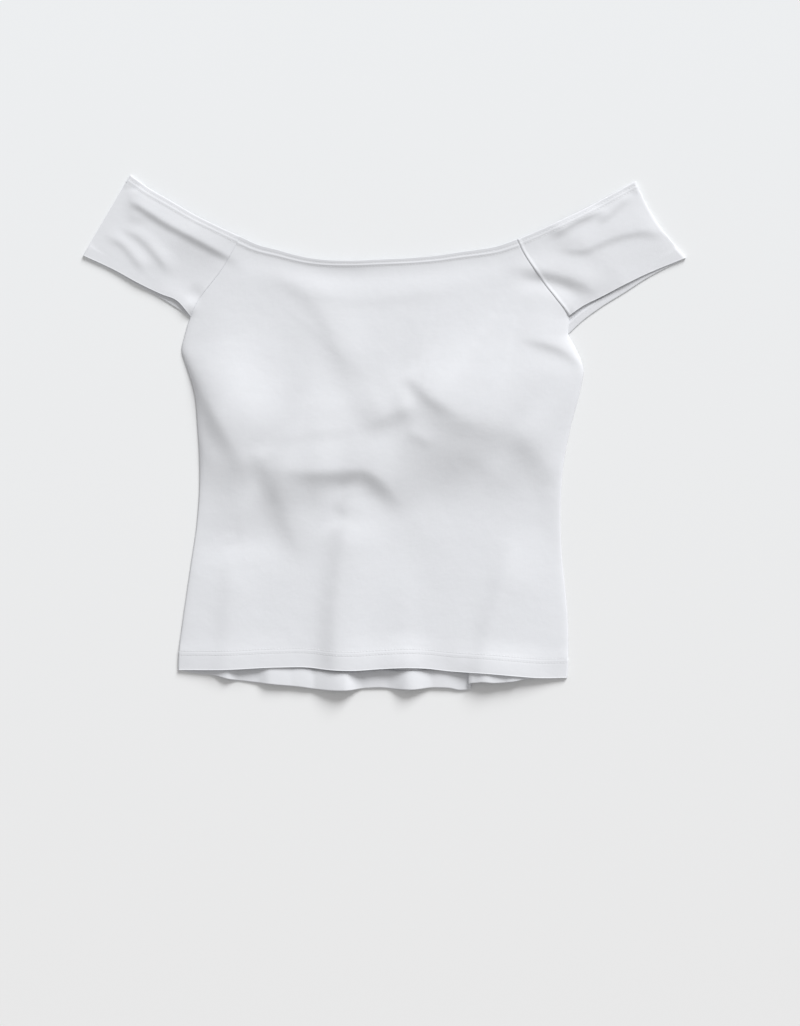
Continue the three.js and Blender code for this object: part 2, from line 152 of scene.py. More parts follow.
def columns_between(width, edge_steps, step):
    """Shares of a row's width: fine steps at both ends and even ones between."""
    edge = np.array(edge_steps) / width
    count = int((1 - 2 * edge[-1]) * width / step)
    return np.concatenate([edge[:-1], np.linspace(edge[-1], 1 - edge[-1], count), 1 - edge[:-1][::-1]])


def sag(line, s):
    """How far an edge line lies off the straight line between its two ends."""
    places = mix(line[0][0], line[-1][0], s)
    return table_curve(line, places) - mix(line[0][1], line[-1][1], s)


def panel_plan(rows, columns, sides, armpits, hem, neck):
    """Where the net of a body panel lies in plan, in millimetres."""
    up = (rows.at / rows.length)[:, None]
    s = columns[None, :]
    armpit_up = (armpits[0] - hem[0][1]) / (neck[0][1] - hem[0][1])
    knots = [0, armpit_up, 1]
    left_y = np.interp(up, knots, [hem[0][1], armpits[0], neck[0][1]])
    right_y = np.interp(up, knots, [hem[-1][1], armpits[1], neck[-1][1]])
    left = table_curve([(level.y, level.left) for level in sides], left_y)
    right = table_curve([(level.y, level.right) for level in sides], right_y)
    x = mix(left, right, s)
    y = mix(left_y, right_y, s) + (1 - up) * sag(hem, s) + up ** 3 * sag(neck, s)
    return x, y


def wave_height(x, y):
    """How high the back stands off the surface: most at its hem, and nothing WAVE_LENGTH above it."""
    above = y - table_curve(BACK_HEM_LINE, x)
    waves = np.zeros(x.shape)
    for wave in HEM_WAVES:
        spread = np.where(x < wave.x, wave.left, wave.right)
        waves = np.maximum(waves, wave.rise * np.exp(-((x - wave.x) / spread) ** 2))
    crest = np.exp(-((x - PLEAT_CREST) / PLEAT_SPREAD) ** 2)
    pleat = PLEAT_RISE * crest * ease((x - PLEAT_START) / PLEAT_SPREAD)
    return (1 - ease(above / WAVE_LENGTH)) * (waves + pleat)


def cloth(name, points, uv, outward_down=False):
    """One piece of cloth from a net: points[row, column] of its outer face, in millimetres."""
    last_row, last_column = points.shape[0] - 1, points.shape[1] - 1
    bm = bmesh.new()
    uv_layer = bm.loops.layers.uv.new("cloth")
    bmesh.ops.create_grid(bm, x_segments=last_column, y_segments=last_row, size=0.5)
    spot = {}
    for v in bm.verts:
        spot[v] = (round((v.co.y + 0.5) * last_row), round((v.co.x + 0.5) * last_column))
    for v, (row, column) in spot.items():
        v.co = Vector(points[row, column]) * MM
    for face in bm.faces:
        face.smooth = True
        for loop in face.loops:
            loop[uv_layer].uv = uv[spot[loop.vert]] * MM
    if outward_down:
        bmesh.ops.reverse_faces(bm, faces=bm.faces)
    mesh = bpy.data.meshes.new(name)
    bm.to_mesh(mesh)
    bm.free()
    piece = bpy.data.objects.new(name, mesh)
    bpy.context.scene.collection.objects.link(piece)
    wall = piece.modifiers.new("Cloth", "SOLIDIFY")
    wall.thickness = JERSEY * MM
    wall.offset = -1
    return piece


def knit_group():
    """Fine jersey: rows of small V loops. Gives their height."""
    group = bpy.data.node_groups.new("jersey_knit", "ShaderNodeTree")
    for name, default in (("Wales per metre", 1300.0), ("Courses per metre", 1700.0)):
        socket = group.interface.new_socket(name, in_out="INPUT", socket_type="NodeSocketFloat")
        socket.default_value = default
    group.interface.new_socket("Cloth", in_out="INPUT", socket_type="NodeSocketVector")
    group.interface.new_socket("Height", in_out="OUTPUT", socket_type="NodeSocketFloat")
    nodes, links = group.nodes, group.links
    inputs, outputs = nodes.new("NodeGroupInput"), nodes.new("NodeGroupOutput")
    split = nodes.new("ShaderNodeSeparateXYZ")
    links.new(inputs.outputs["Cloth"], split.inputs[0])

    def maths(operation, a, b=None):
        node = nodes.new("ShaderNodeMath")
        node.operation = operation
        for socket, value in zip(node.inputs, (a, b)):
            if isinstance(value, (int, float)):
                socket.default_value = value
            elif value is not None:
                links.new(value, socket)
        return node.outputs[0]

    wale = maths("MULTIPLY", split.outputs["X"], inputs.outputs["Wales per metre"])
    leg = maths("ABSOLUTE", maths("SUBTRACT", maths("FRACT", wale), 0.5))
    course = maths("MULTIPLY", split.outputs["Y"], inputs.outputs["Courses per metre"])
    slanted = maths("ADD", course, leg)
    loop = maths("SINE", maths("MULTIPLY", slanted, 2 * np.pi))
    rib = maths("SINE", maths("MULTIPLY", leg, 2 * np.pi))
    links.new(maths("ADD", maths("MULTIPLY", loop, 0.35), rib), outputs.inputs["Height"])
    return group


JERSEY_KNIT = knit_group()
WHITE = (0.767, 0.779, 0.811)
ROUGHNESS = 0.85


def jersey_material():
    """White jersey: fine knit, a soft uneven surface, and a little fuzz that catches the light."""
    material = bpy.data.materials.new("white_jersey")
    material.use_nodes = True
    nodes, links = material.node_tree.nodes, material.node_tree.links
    shader = nodes["Principled BSDF"]
    shader.inputs["Specular IOR Level"].default_value = 0.25
    shader.inputs["Sheen Weight"].default_value = 0.12
    shader.inputs["Sheen Roughness"].default_value = 0.45
    uv = nodes.new("ShaderNodeUVMap")
    uv.uv_map = "cloth"
    knit = nodes.new("ShaderNodeGroup")
    knit.node_tree = JERSEY_KNIT
    links.new(uv.outputs["UV"], knit.inputs["Cloth"])
    place = nodes.new("ShaderNodeTexCoord")
    slub = nodes.new("ShaderNodeTexNoise")
    slub.inputs["Scale"].default_value = 14
    slub.inputs["Detail"].default_value = 3
    links.new(place.outputs["Object"], slub.inputs["Vector"])
    tone = nodes.new("ShaderNodeValToRGB")
    tone.color_ramp.elements[0].position = 0.3
    tone.color_ramp.elements[0].color = (*[c * 0.985 for c in WHITE], 1)
    tone.color_ramp.elements[1].position = 0.7
    tone.color_ramp.elements[1].color = (*WHITE, 1)
    links.new(slub.outputs["Fac"], tone.inputs["Fac"])
    links.new(tone.outputs["Color"], shader.inputs["Base Color"])
    rough = nodes.new("ShaderNodeMapRange")
    rough.inputs["To Min"].default_value = ROUGHNESS - 0.05
    rough.inputs["To Max"].default_value = ROUGHNESS + 0.05
    links.new(slub.outputs["Fac"], rough.inputs["Value"])
    links.new(rough.outputs["Result"], shader.inputs["Roughness"])
    crumple = nodes.new("ShaderNodeTexNoise")
    crumple.inputs["Scale"].default_value = 60
    crumple.inputs["Detail"].default_value = 4
    crumple.inputs["Roughness"].default_value = 0.55
    links.new(place.outputs["Object"], crumple.inputs["Vector"])
    soft = nodes.new("ShaderNodeBump")
    soft.inputs["Strength"].default_value = 0.25
    soft.inputs["Distance"].default_value = 0.0012
    links.new(crumple.outputs["Fac"], soft.inputs["Height"])
    weave = nodes.new("ShaderNodeBump")
    weave.inputs["Strength"].default_value = 0.3
    weave.inputs["Distance"].default_value = 0.00008
    links.new(knit.outputs["Height"], weave.inputs["Height"])
    links.new(soft.outputs["Normal"], weave.inputs["Normal"])
    links.new(weave.outputs["Normal"], shader.inputs["Normal"])
    return material


jersey = jersey_material()
back_rows = Rows(BACK_LENGTH, BODY_HEM, NECK_HEM, dense=1.5, step=4.0, hem_step=3)
back_columns = columns_between(BODY_WIDTH, [0, 1.5, 4], 2.2)
BACK_SIDES = SIDES + BACK_ARMHOLES
x, y = panel_plan(back_rows, back_columns, BACK_SIDES, BACK_ARMPITS, BACK_HEM_LINE, BACK_NECK_LINE)
x = x + mix(BACK_INSET, -BACK_INSET, back_columns)[None, :]
lift = wave_height(x, y)
near_hem = 1 - ease((y - table_curve(BACK_HEM_LINE, x)) / WAVE_LENGTH)
fold = np.clip((x - PLEAT_X) / PLEAT_WIDTH, -1, 1)
x = x - near_hem * PLEAT_REACH * np.sin(np.pi * fold)
z = lift + back_rows.drop[:, None]
back_uv = np.stack([x, np.broadcast_to(back_rows.along[:, None], x.shape)], axis=-1)
back_panel = cloth("back_panel_cloth", np.stack([x, y, z], axis=-1), back_uv, outward_down=True)
back_panel.data.materials.append(jersey)
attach(back_panel, "root")
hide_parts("back_panel")

# Front panel. The same jersey, sewn to the back at both sides; it lies over the back with its bust
# swelling up in soft folds. Its neckline and bottom hem are turned under and sewn.
FRONT_ARMHOLES = [
    Level(98, -199.5, 184.0), Level(116, -194.0, 184.2), Level(134, -185.0, 171.5),
    Level(147, -174.9, 161.2), Level(161, -164.0, 151.2), Level(178, -153.5, 140.0),
    Level(196, -143.8, 131.2),
]
FRONT_SIDES = SIDES + FRONT_ARMHOLES
FRONT_ARMPITS = (116.5, 116.5)
FRONT_HEM_LINE = [
    (-206, -237.2), (-161, -237.0), (-107, -234.6), (-75, -234.7), (-55, -237.0), (-31, -237.8),
    (-4, -236.1), (23, -235.0), (41, -235.7), (64, -238.3), (103, -240.8), (132, -243.4),
    (151, -245.0), (182, -245.0),
]
FRONT_NECK_LINE = [
    (-144, 195.7), (-129, 188.5), (-107, 182.3), (-76, 174.4), (-61, 172.5), (-34, 171.8),
    (-4, 173.0), (24, 174.3), (53, 177.0), (76, 180.5), (93, 182.8), (110, 185.8), (131, 193.0),
]
FRONT_LENGTH = 432.5

# Heights of the cloth's outer face: down from the neckline, across the bottom hem, and in from a
# sleeve's folded edge. The edge values say how quickly it rises from the edges.
FRONT_HEIGHT = [
    (0, 4.7), (10, 3.9), (30, 5.0), (60, 5.9), (100, 6.8), (130, 7.3), (155, 7.3), (180, 6.6),
    (215, 5.4), (245, 4.4), (285, 4.1), (320, 4.4), (350, 4.8), (390, 5.4), (415, 5.8),
]
NECK_LEVEL = 171.8
NECK_REACH = 150
HEM_HEIGHT = [
    (-206, 3.2), (-190, 5.0), (-172, 6.0), (-156, 6.2), (-112, 6.4), (-84, 5.5), (-64, 5.1), (-42, 6.2),
    (-8, 7.1), (25, 8.4), (44, 6.6), (60, 5.6), (80, 7.0), (100, 8.4), (130, 8.9), (152, 7.2),
    (168, 5.0), (182, 3.4),
]
HEM_REACH = 38
SLEEVE_HEIGHT = [(0, 2.0), (8, 2.2), (25, 2.4), (60, 3.3), (110, 5.8)]
SLEEVE_EASE = 26
EDGE_EASE = 2.4
EDGE_SPREAD = 45
EDGE_STEP = 0.32
EDGE_ROUNDING = 4
CREASE_EASE = 8
EDGE_HEIGHT = 1.3
HEMMED_EDGE_HEIGHT = 2.4
SIDE_ROLL = 0.8
SIDE_HEIGHT = 0.4

# Each crease runs along its route from left to right or downwards. rise is its height, negative for
# a trough; left and right are its spread on either side; start and end are its tapered shares.
# Beyond CREASE_REACH spreads it is too low to count.
CREASE_REACH = 2.6
Crease = namedtuple("Crease", "name rise left right start end route")
CREASES = [
    Crease("roll of the neckband", 1.1, 6, 8, 0.4, 0.5,
           [(-124, 188), (-92, 179), (-61, 173), (-34, 171), (-4, 172), (36, 175)]),
    Crease("back neckline showing through", 0.45, 14, 7, 0.3, 0.3,
           [(-122, 157), (-90, 145), (-54, 137), (-20, 134), (42, 140), (84, 148), (104, 157)]),
    Crease("slack down the chest", 1.4, 26, 11, 0.3, 0.25,
           [(-134, 167), (-106, 158), (-82, 145), (-64, 126), (-50, 100), (-38, 72), (-28, 42)]),
    Crease("left bust swell", 0.9, 26, 22, 0.3, 0.2,
           [(-168, 147), (-166, 108), (-156, 63), (-138, 25), (-112, 3)]),
    Crease("fold under the left bust", 7.0, 50, 13.5, 0.38, 0.6,
           [(-206, 90), (-195, 66), (-182, 43), (-168, 20), (-153, -5), (-138, -31), (-123, -58)]),
    Crease("slope over the middle", 1.3, 70, 20, 0.35, 0.35,
           [(-104, 30), (-70, 31), (-36, 32), (-2, 34)]),
    Crease("fold across the middle", 0.8, 26, 8, 0.3, 0.3,
           [(-144, -7), (-94, -1), (-44, 5), (-12, 13)]),
    Crease("arch", 5.8, 56, 12.5, 0.5, 0.3,
           [(-140, -31), (-100, -35), (-70, -37), (-40, -36), (-18, -36), (-2, -46), (13, -62), (30, -82)]),
    Crease("slope under the arch", 3.8, 60, 22, 0.3, 0.35,
           [(-126, -38), (-96, -48), (-64, -50), (-40, -52)]),
    Crease("slope under the left bust", 4.0, 60, 28, 0.3, 0.35,
           [(-200, -4), (-170, -20), (-140, -30), (-120, -38)]),
    Crease("ridge under the arch", 1.2, 20, 12, 0.3, 0.5,
           [(-38, -50), (-32, -62), (-30, -92)]),
    Crease("dimple under the arch", -1.0, 7, 17, 0.4, 0.4,
           [(-57, -74), (-47, -82), (-40, -94)]),
    Crease("left slanting fold", 2.3, 24, 13, 0.15, 0.35,
           [(-130, -10), (-107, -52), (-90, -98), (-78, -136)]),
    Crease("hollow over the left mound", -2.3, 24, 22, 0.5, 0.5,
           [(-224, -126), (-190, -115), (-156, -107), (-122, -104), (-88, -108), (-54, -117)]),
    Crease("left mound", 0.6, 20, 20, 0.3, 0.4,
           [(-152, -100), (-138, -104), (-130, -140)]),
    Crease("peak", 2.5, 100, 18, 0.3, 0.35,
           [(-22, 8), (2, 32), (25, 58), (40, 48), (58, 33), (80, 18), (106, 8), (132, 4), (154, -4)]),
    Crease("tip of the peak", 1.5, 36, 6.5, 0.2, 0.4,
           [(18, 62), (30, 51), (43, 38), (60, 26), (78, 19)]),
    Crease("left leg of the peak", 3.4, 30, 12, 0.45, 0.3,
           [(-30, 6), (-10, 14), (8, 22), (24, 28), (38, 30)]),
    Crease("slope under the peak", 4.5, 90, 35, 0.35, 0.35,
           [(2, 14), (30, 9), (58, -3), (86, -18), (110, -34)]),
    Crease("slope beyond the peak", 3.5, 96, 36, 0.3, 0.2,
           [(24, 62), (58, 32), (98, 18), (140, 5), (178, -16)]),
    Crease("small tuck", 0.7, 7, 5, 0.3, 0.4,
           [(20, 1), (36, -5), (52, -14)]),
    Crease("right end of the bust fold", 1.8, 30, 16, 0.3, 0.3,
           [(124, 10), (148, -10), (166, -32), (175, -56)]),
    Crease("right wedge", 0.9, 18, 13, 0.4, 0.4,
           [(78, 4), (90, -16), (107, -38), (116, -65)]),
    Crease("hollow under the right bust", -1.1, 34, 40, 0.3, 0.2,
           [(28, -86), (70, -72), (110, -74), (140, -70), (176, -58)]),
    Crease("left hanging fold", 4.6, 34, 15, 0.3, 0,
           [(-33, -60), (-36, -100), (-39, -123), (-46, -175), (-47, -228), (-48, -247)]),
    Crease("middle hanging fold", 1, 16, 30, 0.4, 0,
           [(14, -112), (16, -167), (18, -207), (20, -247)]),
    Crease("right hanging fold", 3.2, 46, 13, 0.4, 0,
           [(134, -90), (127, -125), (117, -160), (106, -200), (96, -252)]),
    Crease("outer left hanging fold", 1.6, 26, 12, 0.4, 0,
           [(-148, -107), (-152, -157), (-156, -207), (-160, -247)]),
    Crease("right armpit crease", 1.6, 24, 3.4, 0.4, 0,
           [(128, 95), (156, 90), (176, 84), (190, 75), (206, 59)]),
    Crease("hollow under the armpit crease", -0.5, 5, 12, 0.4, 0,
           [(140, 81), (168, 76), (184, 68), (202, 55)]),
    Crease("fold across the right armhole", 2.0, 16, 7, 0.45, 0.25,
           [(112, 169), (148, 164), (170, 160), (190, 154), (208, 145), (220, 134)]),
    Crease("hollow across the right armhole", -1.2, 6, 9, 0.3, 0.3,
           [(126, 152), (160, 150), (184, 142), (198, 132)]),
    Crease("fold along the left sleeve", 2.6, 32, 4.2, 0.1, 0.3,
           [(-256, 234), (-236, 222), (-218, 210), (-192, 196), (-166, 182), (-150, 173), (-138, 162)]),
    Crease("slope below the left sleeve's fold", 0.9, 12, 14, 0.2, 0.3,
           [(-258, 226), (-236, 214), (-216, 202), (-190, 190), (-164, 176), (-146, 162)]),
    Crease("corner of the left sleeve", 1.2, 14, 7, 0.2, 0.3,
           [(-253, 246), (-250, 232), (-249, 220), (-246, 206)]),
    Crease("left sleeve, outer crease", 1.1, 8, 4, 0.3, 0.3,
           [(-282, 198), (-264, 191), (-250, 176), (-236, 158)]),
    Crease("left sleeve, inner crease", 1.3, 9, 4.5, 0.3, 0.3,
           [(-268, 207), (-246, 197), (-230, 182), (-210, 156)]),
    Crease("right sleeve, upper crease", 1.8, 8, 4, 0.3, 0.3,
           [(162, 195), (176, 202), (192, 212), (222, 225)]),
    Crease("right sleeve, middle crease", 1.6, 24, 4.5, 0.3, 0.15,
           [(166, 187), (196, 183), (212, 189), (232, 197), (260, 202), (286, 196)]),
    Crease("right sleeve, short crease", 1.4, 7, 4, 0.3, 0.3,
           [(212, 209), (226, 221), (238, 232), (250, 236)]),
    Crease("mouth of the left sleeve", 1.4, 12, 12, 0.6, 0.2,
           [(-236, 146), (-218, 138), (-206, 131), (-190, 117)]),
    Crease("dimple over the left armpit", -1.2, 8, 8, 0.4, 0.4,
           [(-199, 144), (-188, 136), (-178, 134)]),
]


def smooth_route(route, steps=5):
    """A route's points joined by a smooth curve through them."""
    route = np.array(route, float)
    spots = np.arange(len(route))
    fine = np.linspace(0, len(route) - 1, steps * (len(route) - 1) + 1)
    return np.stack([table_curve(list(zip(spots, route[:, axis])), fine) for axis in (0, 1)], axis=-1)


def off_route(x, y, route):
    """Distance off a route, positive to the left of travel, and the share of its length reached."""
    starts, steps = route[:-1], np.diff(route, axis=0)
    lengths = np.hypot(*steps.T)
    reached = np.concatenate([[0], np.cumsum(lengths)])
    nearest = np.full(x.shape, np.inf)
    side, share = np.ones(x.shape), np.zeros(x.shape)
    for (ax, ay), (dx, dy), length, before in zip(starts, steps, lengths, reached):
        t = np.clip(((x - ax) * dx + (y - ay) * dy) / length ** 2, 0, 1)
        ex, ey = x - ax - t * dx, y - ay - t * dy
        distance = np.hypot(ex, ey)
        closer = distance < nearest
        nearest = np.where(closer, distance, nearest)
        side = np.where(closer, np.where(dx * ey - dy * ex >= 0, 1.0, -1.0), side)
        share = np.where(closer, (before + t * length) / reached[-1], share)
    return nearest * side, share


def crease_height(x, y):
    """The heights of all creases added up."""
    total = np.zeros(x.shape)
    for crease in CREASES:
        route = smooth_route(crease.route)
        reach = CREASE_REACH * max(crease.left, crease.right)
        low, high = route.min(axis=0) - reach, route.max(axis=0) + reach
        near = (x > low[0]) & (x < high[0]) & (y > low[1]) & (y < high[1])
        distance, share = off_route(x[near], y[near], route)
        spread = np.where(distance >= 0, crease.left, crease.right)
        taper = ease(share / crease.start) if crease.start else 1
        taper = taper * (ease((1 - share) / crease.end) if crease.end else 1)
        total[near] += crease.rise * np.exp(-(distance / spread) ** 2) * taper
    return total


LEFT_FOLD_ENDS = ((-254.4, 257.4), (-301.4, 177.2))
RIGHT_FOLD_ENDS = ((251.3, 251.3), (301.6, 175.0))
LEFT_FOLD_BOW = 0
RIGHT_FOLD_BOW = 6


def sleeve_fold(fold_ends, bow, down):
    """The outer folded edge of a sleeve, from its neck end (0) to its opening (1)."""
    (neck_x, neck_y), (hem_x, hem_y) = fold_ends
    inward = -np.sign(neck_x) * bow * 4 * down * (1 - down)
    return mix(neck_x, hem_x, down) + inward, mix(neck_y, hem_y, down)


def from_folded_edges(x, y):
    """Distance to the nearest side or sleeve fold, with the corners between them rounded."""
    levels = np.linspace(SIDES[0].y, FRONT_ARMPITS[0], 40)
    shares = np.linspace(0, 1, 10)
    edges = [
        np.stack([table_curve([(level.y, level.left) for level in FRONT_SIDES], levels), levels], axis=-1),
        np.stack([table_curve([(level.y, level.right) for level in FRONT_SIDES], levels), levels], axis=-1),
        np.stack(sleeve_fold(LEFT_FOLD_ENDS, LEFT_FOLD_BOW, shares), axis=-1),
        np.stack(sleeve_fold(RIGHT_FOLD_ENDS, RIGHT_FOLD_BOW, shares), axis=-1),
    ]
    total = sum(np.exp(-np.abs(off_route(x, y, edge)[0]) / EDGE_ROUNDING) for edge in edges)
    return -EDGE_ROUNDING * np.log(np.clip(total, 1e-12, 1))


def front_top(x, y, edge_height):
    """Height of the front's outer face, on the body and on the sleeves."""
    below = table_curve(FRONT_NECK_LINE, x) - y
    depth = mix(below, NECK_LEVEL - y, ease(below / NECK_REACH))
    level = np.maximum(y, FRONT_ARMPITS[0])
    inside = np.minimum(x - table_curve([(row.y, row.left) for row in FRONT_SIDES], level),
                        table_curve([(row.y, row.right) for row in FRONT_SIDES], level) - x)
    body = np.where(y < FRONT_ARMPITS[0], 1, ease((inside + SLEEVE_EASE) / (2 * SLEEVE_EASE)))
    from_edge = from_folded_edges(x, y)
    above = (y - table_curve(FRONT_HEM_LINE, x)) / HEM_REACH
    on_body = mix(table_curve(HEM_HEIGHT, x), table_curve(FRONT_HEIGHT, depth), ease(above))
    swell = mix(table_curve(SLEEVE_HEIGHT, from_edge), on_body, body)
    steep, slow = 1 - np.exp(-from_edge / EDGE_EASE), 1 - np.exp(-from_edge / EDGE_SPREAD)
    rise = mix(steep, mix(slow, steep, EDGE_STEP), body)
    creases = crease_height(x, y) * (1 - np.exp(-from_edge / CREASE_EASE))
    return edge_height + (swell - edge_height) * rise + creases


def soften(z, times):
    """Evens a net's heights out between neighbours."""
    for _ in range(times):
        z = np.pad(z, 1, mode="edge")
        z = (z[:-2, 1:-1] + z[2:, 1:-1] + z[1:-1, :-2] + z[1:-1, 2:] + 4 * z[1:-1, 1:-1]) / 8
    return z


TWIN_GAP = 4.0
NECK_STITCH = 3.8
BODY_STITCH = 14.5
NECK_RELIEF = 0.2
BODY_RELIEF = 0.07
SLEEVE_RELIEF = 0.12
DENT_WIDTH = 0.75
RIDGE_WIDTH = 1.3
STEP_WIDTH = 1.5
HEM_FADE = 12


def hem_relief(distance, first_row, on_outer, deep):
    """The dents of twin stitching and the ridge between its two rows."""
    dents = sum(np.exp(-((distance - first_row - row) / DENT_WIDTH) ** 2) for row in (0, TWIN_GAP))
    ridge = np.exp(-((distance - first_row - TWIN_GAP / 2) / RIDGE_WIDTH) ** 2)
    step = 1 - ease((distance - first_row - TWIN_GAP) / STEP_WIDTH)
    return on_outer * deep * (ridge - dents + step - 1)


def hem_share(rows):
    """One on the turned hems of a piece's net and none between them."""
    low = 1 - ease((rows.at - rows.low_hem) / HEM_FADE)
    high = 1 - ease((rows.length - rows.at - rows.high_hem) / HEM_FADE)
    return np.maximum(low, high)[:, None]


SEAM_TUCK = 0.5
SEAM_DIPS = (0.12, 0.3)
SEAM_WIDTH = 0.9
SIDE_LENGTH = 350
SIDE_FADE = 6
LAYER_GAP = 0.2
SIDE_STEPS = [0, 0.15, 0.5, 1.0, 1.9, 3.0, 4.5, 6.5]
front_rows = Rows(FRONT_LENGTH, BODY_HEM, NECK_HEM, dense=0.8, step=2.5)
front_columns = columns_between(BODY_WIDTH, SIDE_STEPS, 2.3)
x, y = panel_plan(front_rows, front_columns, FRONT_SIDES, FRONT_ARMPITS, FRONT_HEM_LINE, FRONT_NECK_LINE)
hemmed = hem_share(front_rows)
outer = front_rows.drop[:, None] == 0
z = soften(front_top(x, y, mix(EDGE_HEIGHT, HEMMED_EDGE_HEIGHT, hemmed)), 3)
z = z + hem_relief(front_rows.at[:, None], BODY_STITCH, outer, BODY_RELIEF)
z = z + hem_relief(front_rows.length - front_rows.at[:, None], NECK_STITCH, outer, NECK_RELIEF)
z = np.maximum(z, wave_height(x, y) + mix(JERSEY, 2 * TURN, hemmed) * 2 + LAYER_GAP)
side_drop = mix(EDGE_HEIGHT, HEMMED_EDGE_HEIGHT, hemmed) - SIDE_HEIGHT
from_side = np.minimum(front_columns, 1 - front_columns)[None, :] * BODY_WIDTH
on_side = 1 - ease((front_rows.at[:, None] - SIDE_LENGTH) / SIDE_FADE)
rolled = np.clip(1 - from_side / SIDE_ROLL, 0, 1)
z = z - on_side * side_drop * (1 - np.sqrt(1 - rolled ** 2))
at_seam = (1 - on_side) * np.exp(-(from_side / SEAM_WIDTH) ** 2)
z = z - mix(*SEAM_DIPS, front_columns)[None, :] * at_seam
x = x + SEAM_TUCK * at_seam * np.where(front_columns < 0.5, -1, 1)
z = np.maximum(z - front_rows.drop[:, None], SIDE_HEIGHT)
front_points = np.stack([x, y, z], axis=-1)
front_uv = np.stack([x, np.broadcast_to(front_rows.along[:, None], x.shape)], axis=-1)
front_panel = cloth("front_panel_cloth", front_points, front_uv)
front_panel.data.materials.append(jersey)
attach(front_panel, "root")
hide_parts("front_panel")

# Sleeves. Each is one band of jersey round the upper arm, folded at its outer edge and sewn to the
# front and the back along slanting armholes, with both of its long edges turned under.
Section = namedtuple("Section", "out neck_x neck_y hem_x hem_y")
LEFT_SLEEVE = {
    "front": [
        Section(0.0, -144, 195.7, -194, 116.5), Section(0.2, -166, 205.7, -207.5, 131.8),
        Section(0.4, -189, 217.2, -224.5, 139), Section(0.6, -212, 230.6, -245.5, 149.1),
        Section(0.8, -234, 243.3, -272.5, 163.9), Section(1.0, -254.4, 257.4, -301.4, 177.2),
    ],
    "back": [
        Section(0.0, -134, 167, -194, 115.5), Section(0.2, -160, 190, -207.5, 124.8),
        Section(0.4, -187, 210, -224.5, 135.2), Section(0.6, -211, 226, -245.5, 147.4),
        Section(0.8, -233, 241, -272.5, 162.9), Section(1.0, -254.4, 257.4, -301.4, 177.2),
    ],
}
RIGHT_SLEEVE = {
    "front": [
        Section(0.0, 131, 193, 184.5, 116.5), Section(0.2, 155.5, 203, 199.2, 126.9),
        Section(0.4, 175.5, 212, 219.5, 137), Section(0.6, 198.5, 223, 240, 147.9),
        Section(0.8, 222.5, 235.6, 265.5, 160.2), Section(1.0, 251.3, 251.3, 301.6, 175),
    ],
    "back": [
        Section(0.0, 121.5, 168, 184, 98.5), Section(0.2, 146, 184, 199, 112.5),
        Section(0.4, 171, 200, 219, 127), Section(0.6, 196, 216, 240, 140),
        Section(0.8, 221, 232, 265, 156), Section(1.0, 251.3, 251.3, 301.6, 175),
    ],
}
SLEEVE_DEPTH = 93
SLEEVE_HEM = 8.8
FOLD_STEPS = 9
ARMHOLE_GAP = 0.06
FOLD_RADIUS = 0.9
FOLD_BULGE = 0.5
RIDGE_FROM_SEAM = 1.2
SEAM_SHARES = [0, 0.002, 0.006, 0.012, 0.02, 0.03]


def sleeve_layer(sections, side, panel_sides, seam_ends, fold_line, tuck, out, down):
    """One layer of a sleeve in plan, from its armhole seam (out 0) to its folded edge (1)."""
    columns = list(zip(*sections))

    def straight(share, axis):
        neck = table_curve(list(zip(columns[0], columns[1 + axis])), share)
        hem = table_curve(list(zip(columns[0], columns[3 + axis])), share)
        return mix(neck, hem, down)

    seam_y = mix(*seam_ends, down)
    edge = "left" if side < 0 else "right"
    seam_x = table_curve([(row.y, getattr(row, edge)) for row in panel_sides], seam_y) + side * ARMHOLE_GAP
    none, whole = np.zeros_like(down), np.ones_like(down)
    place = []
    for axis, seam in enumerate((seam_x, seam_y)):
        at_seam = seam - straight(none, axis)
        at_fold = fold_line[axis] - tuck[axis] - straight(whole, axis)
        place.append(straight(out, axis) + at_seam * (1 - out) ** 2 + at_fold * out ** 3)
    return place


